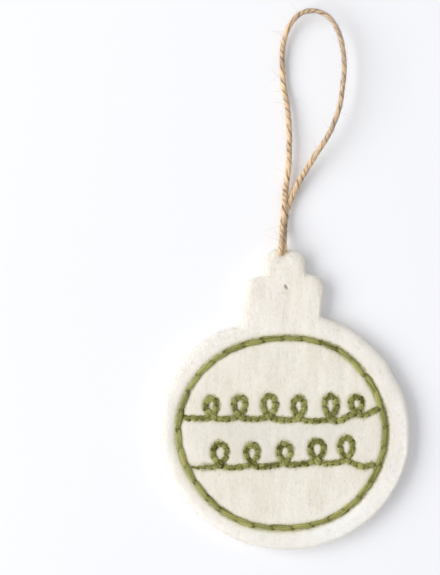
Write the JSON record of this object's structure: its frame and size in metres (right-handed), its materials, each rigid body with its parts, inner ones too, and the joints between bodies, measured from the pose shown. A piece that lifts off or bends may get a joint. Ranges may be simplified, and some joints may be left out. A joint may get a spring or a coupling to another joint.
{
  "type": "felt christmas ornament",
  "caption": "Flat bauble-shaped felt ornament in two layers with a stitched ring and rows of curls on the front and a twine loop to hang it by.",
  "frame": {"origin": "centre of the felt's bounding box, on the surface that the back of the ornament lies on", "axes": "+Z out of the stitched front, +Y towards the cap and the hanging loop, +X to the right as the front is seen"},
  "size_m": [0.0899, 0.1949, 0.0081],
  "materials": {
    "wool_felt": "matte cream wool felt",
    "cotton_floss": "olive-green stranded cotton",
    "jute_twine": "natural jute, hairy"
  },
  "bodies": {
    "felt_body": {"front_felt": "wool_felt", "back_felt": "wool_felt", "outline_thread": "cotton_floss", "upper_curl_thread": "cotton_floss", "lower_curl_thread": "cotton_floss", "twine_tail_left": "jute_twine", "twine_tail_right": "jute_twine"},
    "hanger": {"hanging_loop": "jute_twine"}
  },
  "joints": [
    {"name": "loop_swing", "type": "hinge", "parent": "felt_body", "child": "hanger", "pos_m": [-0.00086, 0.0519, 0.00638], "axis": [1, 0, 0], "range_deg": [0, 150]}
  ]
}
